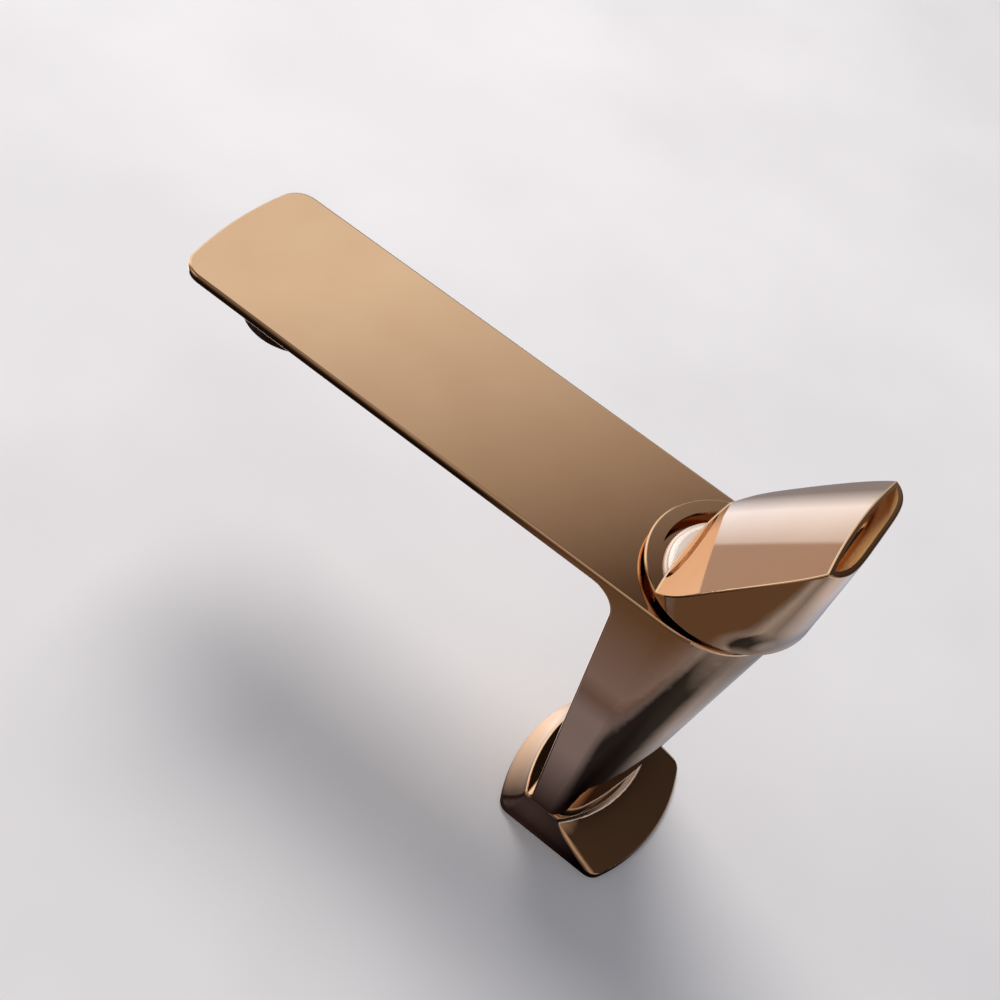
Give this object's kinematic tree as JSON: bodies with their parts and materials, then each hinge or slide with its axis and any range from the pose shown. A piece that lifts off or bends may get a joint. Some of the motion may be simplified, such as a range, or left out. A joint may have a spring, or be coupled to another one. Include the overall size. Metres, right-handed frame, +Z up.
{
  "type": "basin mixer",
  "caption": "Single-lever deck basin mixer with a flat spout, a leaning D-shaped column, a flared foot and an obliquely cut round lever over a ceramic disc cartridge.",
  "frame": {"origin": "where the lever's upright axis meets the deck, in the middle of the foot's underside", "axes": "+Z up from the deck along the lever's axis, -Y along the spout towards its tip, +X across the spout, so that X = 0 is the mirror plane"},
  "size_m": [0.0494, 0.1799, 0.2127],
  "materials": {
    "rose_gold": "polished rose-gold plating",
    "raw_brass": "machined",
    "zinc_steel": "zinc plated",
    "black_rubber": "matte",
    "white_plastic": "moulded",
    "ceramic": "lapped"
  },
  "bodies": {
    "mixer": {"body": "rose_gold", "base_gasket": "black_rubber", "mounting_stud": "zinc_steel", "clamp_rubber": "black_rubber", "clamp_plate": "zinc_steel", "clamp_nut": "raw_brass", "cartridge_base": "white_plastic", "port_seals": "black_rubber", "fixed_disc": "ceramic", "glide_ring": "white_plastic", "cartridge_housing": "white_plastic", "cartridge_nut": "raw_brass", "dome": "rose_gold", "dome_seal": "black_rubber", "aerator_ring": "rose_gold", "aerator_core": "white_plastic", "aerator_screen": "zinc_steel", "aerator_washer": "black_rubber"},
    "turner": {"rotor": "white_plastic", "pivot_pin": "zinc_steel"},
    "lever": {"handle": "rose_gold", "stem": "raw_brass", "set_screw": "zinc_steel", "screw_plug": "rose_gold"},
    "disc": {"moving_disc": "ceramic", "disc_driver": "white_plastic"}
  },
  "joints": [
    {"name": "handle_turn", "type": "hinge", "parent": "mixer", "child": "turner", "pos_m": [0, 0, 0.0866], "axis": [0, 0, 1], "range_deg": [-45, 45]},
    {"name": "handle_tilt", "type": "hinge", "parent": "turner", "child": "lever", "pos_m": [0, 0, 0.0866], "axis": [-1, 0, 0], "range_deg": [0, 5.5]},
    {"name": "disc_slide", "type": "slide", "parent": "turner", "child": "disc", "axis": [0, -1, 0], "range_m": [0, 0.0011]}
  ],
  "couplings": [
    {"joint": "disc_slide", "follows": "handle_tilt", "m_per_rad": 0.010484}
  ]
}
